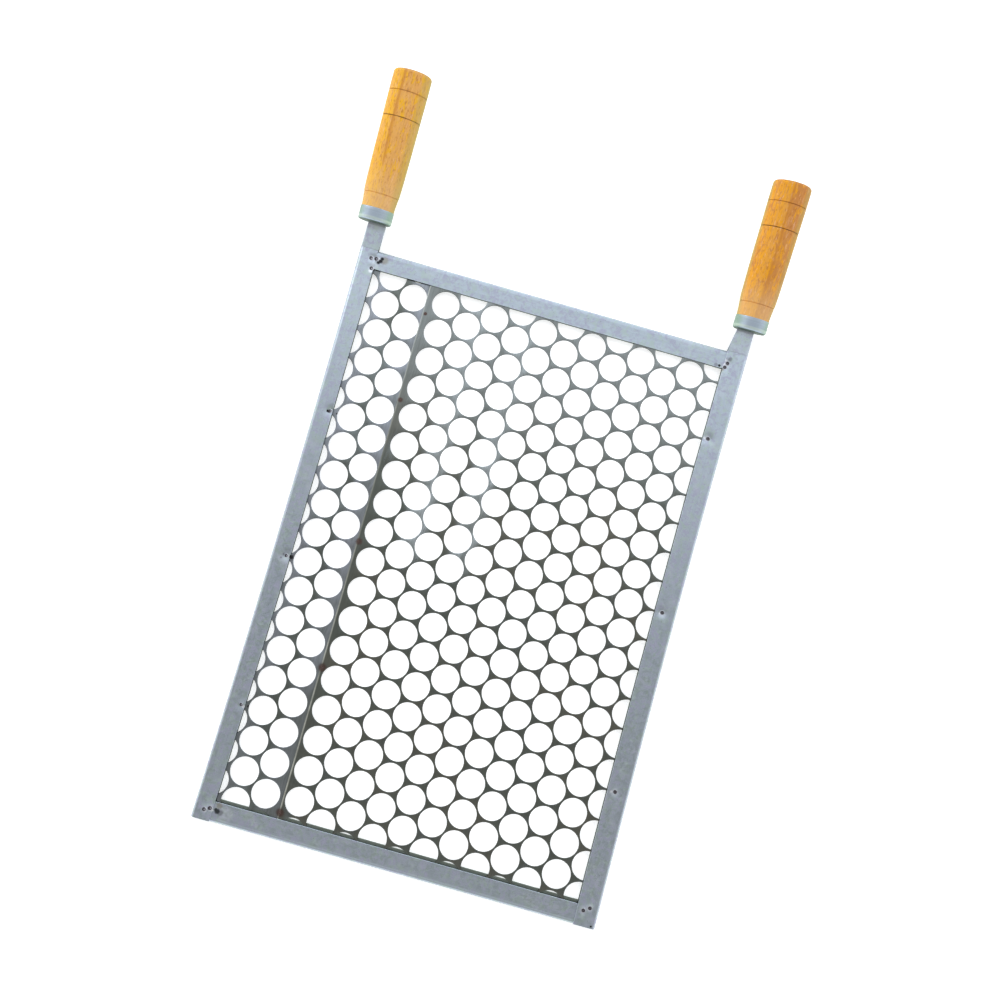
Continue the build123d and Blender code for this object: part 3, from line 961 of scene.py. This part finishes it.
def galvanised(name, along_y):
    """Zinc-coated strip: blue, violet and greenish clouds, faint rolling streaks and weld marks, with
    painted highlights by the welds and painted shade on its lower half, by the ferrules and under the
    rails' lips.
    """
    shader = Shader(name, metallic=1.0, roughness=0.34, color=(0.47, 0.535, 0.6))
    streaks = shader.noise((900.0, 14.0, 900.0) if along_y else (14.0, 900.0, 900.0), 4.0, 0.6)
    bands = shader.noise((160.0, 5.0, 160.0) if along_y else (5.0, 160.0, 160.0), 3.0, 0.6,
                         shift=(3.0, 1.0, 0.0))
    smudges = shader.noise(55.0, 5.0, 0.62, 0.6)
    violet_clouds = shader.noise(240.0, 4.0, 0.62, 0.8)
    green_clouds = shader.noise(170.0, 4.0, 0.62, 0.8, shift=(85.0, 51.0, 0.0))
    pits = shader.noise(1300.0, 1.0)
    shader.lay((0.51, 0.575, 0.64), streaks, 0.35, 0.65)
    shader.lay((0.38, 0.43, 0.5), bands, 0.42, 0.7, 0.25)
    shader.lay((0.43, 0.43, 0.55), violet_clouds, 0.46, 0.62, 0.85)
    shader.lay((0.46, 0.55, 0.53), green_clouds, 0.48, 0.64, 0.85)
    shader.lay((0.62, 0.66, 0.7), smudges, 0.5, 0.75, 0.35)
    shader.lay((0.08, 0.08, 0.1), pits, 0.71, 0.78, 0.75)
    # Weld marks, with painted highlights in the dimples and painted shade under the rails' lips.
    for marks, ragged, share, color in WELD_MARKS_AND_PAINTED_LIGHT:
        shader.lay_marks(marks, ragged * MM, share, color)
    height = shader.along("Z")
    # Painted shade: the strip darker from just under its top face downwards, round its nose.
    nose = (0.28, 0.33, 0.34)
    shader.lay(nose, height, mid_level + 2.7 * MM, mid_level + 0.6 * MM, 0.5)
    # Painted shade: the lower half of the strip darker and green-grey.
    shaded_underside = (0.2, 0.23, 0.17)
    shader.lay(shaded_underside, height, mid_level - 0.3 * MM, mid_level - 1.1 * MM, 0.75)
    # Painted shade on the neck just before the ferrule.
    ferrule_y = grill_y + (HANDLE_BASE_Y[LEFT] + HANDLE_BASE_Y[RIGHT]) / 2
    shader.lay((0.16, 0.13, 0.11), shader.along("Y"), ferrule_y - 7 * MM, ferrule_y - 1 * MM, 0.4)
    relief = shader.bump(streaks, 0.08, 0.00012)
    relief = shader.bump(shader.noise(70.0), 0.18, 0.0006, relief)
    return shader.finish(shader.spread(violet_clouds, 0.35, 0.7, 0.3, 0.44), relief)


def lay_glints(shader, lines, lit, color):
    """Lays glints over the colour along the lines at these x, as bright as lit says."""
    across = shader.along("X")
    for line in lines:
        near = shader.spread(shader.apart(across, line * MM), 15 * MM, 5 * MM)
        shader.cover(color, shader.maths("MULTIPLY", lit, near))


def rolled_sheet(name, cool):
    """Dull rolled steel: oily clouds, bluish glints, dark hole edges and brown weld stains, with
    painted light towards the handle end, a painted highlight on the cut edge and painted shade by the
    rails' lips.
    """
    shader = Shader(name, metallic=1.0, roughness=0.32, color=(0.15, 0.165, 0.145))
    steel = (0.235, 0.262, 0.262)
    clouds = shader.noise(16.0, 4.0, 0.6, 0.4)
    patches = shader.noise((75.0, 26.25, 75.0), 4.0, 0.6, 0.8)
    shader.lay(steel if cool else (0.17, 0.166, 0.138), clouds, 0.4, 0.65)
    shader.lay(steel, patches, 0.5, 0.72, 0.75)
    along = shader.along("Y")
    # Painted light: the sheets lighter towards the handle end, where they reflect the window.
    shader.lay((0.31, 0.335, 0.335), along, grill_y + 0.06, grill_y + 0.21, 0.1 if cool else 0.8)
    broken = shader.spread(patches, 0.34, 0.6, 0.35, 1.0)
    if cool:
        lit = shader.spread(along, grill_y - 0.15, grill_y - 0.1, 0.35, 0.8)
        lay_glints(shader, NARROW_GLINT_LINES, shader.maths("MULTIPLY", broken, lit),
                   (0.43, 0.455, 0.52))
    else:
        fading = shader.spread(along, grill_y + 0.02, grill_y + 0.2, 1.0, 0.4)
        lit = shader.maths("MULTIPLY", shader.spread(along, grill_y - 0.01, grill_y + 0.02), fading)
        lay_glints(shader, WIDE_GLINT_LINES, shader.maths("MULTIPLY", broken, lit),
                   (0.52, 0.57, 0.59))
    shader.lay((0.1, 0.11, 0.1), shader.noise((900.0, 60.0, 900.0)), 0.35, 0.75, 0.3)
    shader.lay((0.07, 0.07, 0.06), shader.attribute("rim"), 0.0, 1.0, 0.55)
    # Painted highlight along each sheet's cut edge, broken up along its length and stronger towards the
    # far end.
    unevenly = shader.spread(shader.noise((0.0, 40.0, 0.0)), 0.35, 0.6, 0.35, 1.0)
    toward_far_end = shader.spread(along, grill_y + 0.1, grill_y - 0.16, 0.25, 1.0)
    shine = shader.maths("MULTIPLY", shader.maths("MULTIPLY", shader.attribute("cut"), unevenly),
                         toward_far_end)
    shader.cover((0.66, 0.67, 0.6), shine)
    seam_stains = [(place.x / MM, (place.y - grill_y) / MM, radius)
                   for place, radius in zip(seam_weld_places(), SEAM_STAINS)]
    shader.lay_marks(seam_stains, 1.2 * MM, 0.8, (0.11, 0.062, 0.052))
    # Black marks: scorch, and painted shade in the gaps under the rails' lips.
    shader.lay_marks(BLACK_MARKS, 1.2 * MM, 0.9, (0.03, 0.025, 0.03))
    return shader.finish(shader.spread(patches, 0.4, 0.75, 0.36, 0.24),
                         shader.bump(patches, 0.25, 0.0007))


def weld_metal(name, lean, centre):
    """Scorched weld buttons: dark round a centre of the given colour, with a pale rim.

    lean moves the dark part to the left: painted shade on the crater's left and painted light on its
    right.
    """
    shader = Shader(name, metallic=1.0, roughness=0.4, color=centre)
    mottle = shader.noise(1500.0)
    ring = shader.attribute("ring")
    sideways = shader.maths("MULTIPLY", shader.attribute("sideways"), lean)
    shader.lay((0.07, 0.065, 0.075), ring, 0.05, 0.42)
    # The pale rim, widened on the right by lean as painted light.
    shader.lay((0.62, 0.63, 0.68), shader.maths("ADD", ring, sideways), 0.55, 0.85)
    shader.lay((0.1, 0.08, 0.075), mottle, 0.45, 0.7, 0.35)
    return shader.finish(shader.spread(mottle, 0.3, 0.7, 0.32, 0.55),
                         shader.bump(mottle, 0.3, 0.0002))


def seam_weld_metal():
    """Rusty brown seam welds."""
    shader = Shader("seam_weld_metal", metallic=0.6, roughness=0.55, color=(0.115, 0.065, 0.055))
    mottle = shader.noise(1300.0)
    shader.lay((0.05, 0.035, 0.033), mottle, 0.35, 0.7)
    shader.lay((0.19, 0.15, 0.13), shader.attribute("ring"), 0.45, 0.1, 0.5)
    return shader.finish(0.55, shader.bump(mottle, 0.3, 0.0002))


def ferrule_metal():
    """Satin pressed steel with drawing lines round it, a painted highlight as a paler band by its foot,
    and painted shade on its sides.
    """
    shader = Shader("ferrule_metal", metallic=1.0, roughness=0.5, color=(0.42, 0.49, 0.57),
                    turned_piece=True)
    lines = shader.noise((30.0, 30.0, 1600.0))
    smudges = shader.noise(120.0, 4.0)
    shader.lay((0.48, 0.55, 0.64), lines, 0.35, 0.65)
    shader.lay((0.38, 0.46, 0.46), smudges, 0.45, 0.7, 0.5)
    # Painted shade: the cap's sides darker and greener.
    green_flank = (0.27, 0.39, 0.29)
    shader.lay(green_flank, shader.apart(shader.along("X"), 0.0), 7.5 * MM, 13.5 * MM, 0.85)
    height = shader.along("Z")
    # Painted highlight: a paler band just above the rounded edge by the foot.
    painted_highlight_band = (0.64, 0.74, 0.62)
    shader.lay(painted_highlight_band, shader.apart(height, 2.6 * MM), 1.8 * MM, 0.4 * MM, 0.45)
    foot = (0.1, 0.14, 0.1)
    shader.lay(foot, height, 0.9 * MM, 0.2 * MM)
    return shader.finish(shader.spread(smudges, 0.3, 0.7, 0.46, 0.58),
                         shader.bump(lines, 0.1, 0.0001))


def turned_wood(name, pale, gold, red, split, seed):
    """Oiled hardwood: growth bands along the grip, fine pores and burnt grooves, with painted shade on
    its flanks, underside and rounded end.

    split is where, across the grip, the gold sapwood gives way to the redder heartwood.
    """
    shader = Shader(name, metallic=0.0, roughness=0.42, color=gold, turned_piece=True, seed=seed)
    dark_red = (0.45, 0.17, 0.04)
    slow = shader.noise((60.0, 60.0, 9.0), 3.0, 0.5, 0.5)
    figure = shader.noise((260.0, 260.0, 16.0), 4.0, 0.6, 1.2)
    patches = shader.noise((300.0, 300.0, 110.0), 3.0, 0.6, 0.8)
    fibres = shader.noise((1500.0, 1500.0, 70.0), 4.0, 0.65)
    specks = shader.noise((650.0, 650.0, 230.0), 3.0, 0.6)
    pores = shader.noise((1900.0, 1900.0, 260.0), 2.0, 0.5)
    flecks = shader.noise((500.0, 500.0, 150.0), 3.0, 0.6)
    across = shader.along("X")
    wander = shader.maths("MULTIPLY", shader.maths("SUBTRACT", slow, 0.5), 14 * MM)
    zone_at = shader.maths("ADD", across, wander)
    shader.lay(red, zone_at, split - 4.5 * MM, split + 4.5 * MM)
    shader.lay(pale, figure, 0.42, 0.66, 0.7)
    shader.lay(gold, patches, 0.52, 0.64, 0.9)
    shader.lay(red, patches, 0.47, 0.37, 0.9)
    shader.lay(dark_red, fibres, 0.5, 0.72, 0.4)
    shader.lay((0.46, 0.15, 0.03), specks, 0.54, 0.66, 0.6)
    shader.lay((0.28, 0.12, 0.04), pores, 0.62, 0.72, 0.5)
    shader.lay((0.88, 0.56, 0.34), flecks, 0.57, 0.7, 0.35)
    streak = shader.spread(shader.apart(zone_at, split), 1.8 * MM, 0.3 * MM, 0.0, 0.6)
    shader.cover((0.5, 0.18, 0.03),
                 shader.maths("MULTIPLY", streak, shader.spread(slow, 0.4, 0.55)))
    height = shader.along("Z")
    broken = shader.spread(figure, 0.3, 0.55, 0.35, 1.0)
    for groove, scorch in zip(GRIP_GROOVES, GROOVE_BURNS):
        gap = shader.apart(height, groove * MM)
        burn = shader.spread(gap, 0.55 * MM, 0.15 * MM, 0.0, scorch)
        shader.cover((0.16, 0.07, 0.03), shader.maths("MULTIPLY", burn, broken))
    bare_by_ferrule = (0.78, 0.5, 0.24)
    shader.lay(bare_by_ferrule, height, 52.0 * MM, 14.0 * MM, 0.45)
    # Painted shade: the grip's flanks and underside olive and darker.
    shader.lay((0.38, 0.34, 0.08), shader.along("Y"), -8.0 * MM, -1.0 * MM, 0.65)
    # Painted shade, deeper still on the grip's right flank.
    shaded_right_flank = (0.36, 0.30, 0.06)
    shader.lay(shaded_right_flank, across, 9.0 * MM, 13.5 * MM, 0.42)
    # Painted shade on the grip's rounded end.
    end_edge = (0.2, 0.13, 0.07)
    shader.lay(end_edge, height, 128.2 * MM, 129.8 * MM, 0.6)
    shader.surface.inputs["Specular IOR Level"].default_value = 0.18
    relief = shader.bump(fibres, 0.22, 0.00015)
    relief = shader.bump(pores, 0.3, 0.0002, relief)
    return shader.finish(shader.spread(figure, 0.3, 0.7, 0.5, 0.65), relief)


def floor_material():
    """A white table that glows faintly, so that the grill's shadow is only a breath."""
    shader = Shader("pale_floor", metallic=0.0, roughness=0.9, color=(0.9, 0.9, 0.9))
    shader.surface.inputs["Specular IOR Level"].default_value = 0.0
    shader.surface.inputs["Emission Color"].default_value = (1.0, 1.0, 1.0, 1)
    shader.surface.inputs["Emission Strength"].default_value = 0.5
    return shader.material


# ---- Floor, light and camera ----

def lay_floor():
    """A wide pale floor just under the rails."""
    reach = 12.0
    level = cad_low.z - 0.4 * MM
    corners = [(x * reach, y * reach, level) for x, y in ((-1, -1), (1, -1), (1, 1), (-1, 1))]
    mesh = bpy.data.meshes.new("floor")
    mesh.from_pydata(corners, [], [(0, 1, 2, 3)])
    mesh.materials.append(floor_material())
    new_object("floor", mesh)


def light_room():
    """A soft bright room: dim overhead, a wide cool window beyond the handles, pale walls."""
    world = bpy.data.worlds.new("room")
    bpy.context.scene.world = world
    world.use_nodes = True
    room = Nodes(world.node_tree)
    direction = room.add("ShaderNodeTexCoord", {}).outputs["Generated"]
    window = room.spread(room.axis(direction, "Y"), 0.0, 0.37)
    walls = room.spread(room.axis(direction, "Z"), 0.85, 0.2, 0.0, 0.45)
    far_wall = room.spread(room.axis(direction, "Y"), -0.17, -0.5, 0.0, 0.64)
    glow = room.spread(window, 0.0, 1.0, 0.31, 1.27)
    warm = (1.02, 1.0, 0.96)
    cool = (0.94, 1.0, 1.07)
    backdrop = room.tree.nodes["Background"]
    room.put(room.mix(room.maths("ADD", window, far_wall), warm, cool), backdrop.inputs["Color"])
    strength = room.maths("ADD", room.maths("ADD", glow, walls), far_wall)
    room.put(strength, backdrop.inputs["Strength"])
    add_softbox("key", (-1.9, grill_y + 1.5, 1.2), 2.0, 14.0)


def add_softbox(name, place, size, power):
    """A square area light that faces the middle of the grill."""
    data = bpy.data.lights.new(name, "AREA")
    data.size = size
    data.energy = power
    light = new_object(name, data)
    light.location = place
    aim = Vector((0, grill_y, 0)) - Vector(place)
    light.rotation_euler = aim.to_track_quat("-Z", "Y").to_euler()


def place_camera():
    """The camera that looks down on the grill from nearly overhead."""
    data = bpy.data.cameras.new("camera")
    data.sensor_width = SENSOR_WIDTH
    data.lens = CAMERA_LENS
    camera = new_object("camera", data)
    x, y, z = CAMERA_PLACE
    camera.location = (x, grill_y + y, sheet_high.z + z)
    camera.rotation_euler = [math.radians(angle) for angle in CAMERA_TILT]
    bpy.context.scene.camera = camera


# ---- The whole grill ----

place_camera()
lay_floor()
light_room()
bpy.context.scene.view_settings.view_transform = "Standard"

rail_finish = galvanised("galvanised_rails", True)
bar_finish = galvanised("galvanised_bars", False)
wide_finish = rolled_sheet("rolled_steel_wide", False)
narrow_finish = rolled_sheet("rolled_steel_narrow", True)

side_rail(LEFT, rail_finish)
side_rail(RIGHT, rail_finish)
end_bar("handle", 1, handle_bar_width, 0.0, [], bar_finish)
end_bar("far", -1, far_bar_width, FAR_BAR_LIP, [(-153.0, -241.4, 0.4, 3.0)], bar_finish)
punched_sheet("wide", mid_level, LEFT, seam_edge,
              hole_centres(WIDE_SHEET_HOLE, NARROW_SHEET_EDGE, 2 * half_width), wide_finish)
punched_sheet("narrow", mid_level - sheet_gauge, RIGHT, lambda y: NARROW_SHEET_EDGE,
              hole_centres(NARROW_SHEET_HOLE, -2 * half_width, NARROW_SHEET_EDGE), narrow_finish)
all_welds(weld_metal("left_weld_metal", 0.4, (0.5, 0.5, 0.56)),
          weld_metal("right_weld_metal", 0.0, (0.16, 0.15, 0.16)), seam_weld_metal())
ferrule_finish = ferrule_metal()
left_wood = turned_wood("left_turned_wood", (0.8, 0.42, 0.115), (0.84, 0.43, 0.015),
                        (0.74, 0.37, 0.1), -3.0 * MM, 1.7)
right_wood = turned_wood("right_turned_wood", (0.7, 0.33, 0.075), (0.78, 0.33, 0.01),
                         (0.56, 0.225, 0.055), 1.5 * MM, 5.3)
for side, wood in ((LEFT, left_wood), (RIGHT, right_wood)):
    ferrule(side, ferrule_finish)
    grip(side, wood)
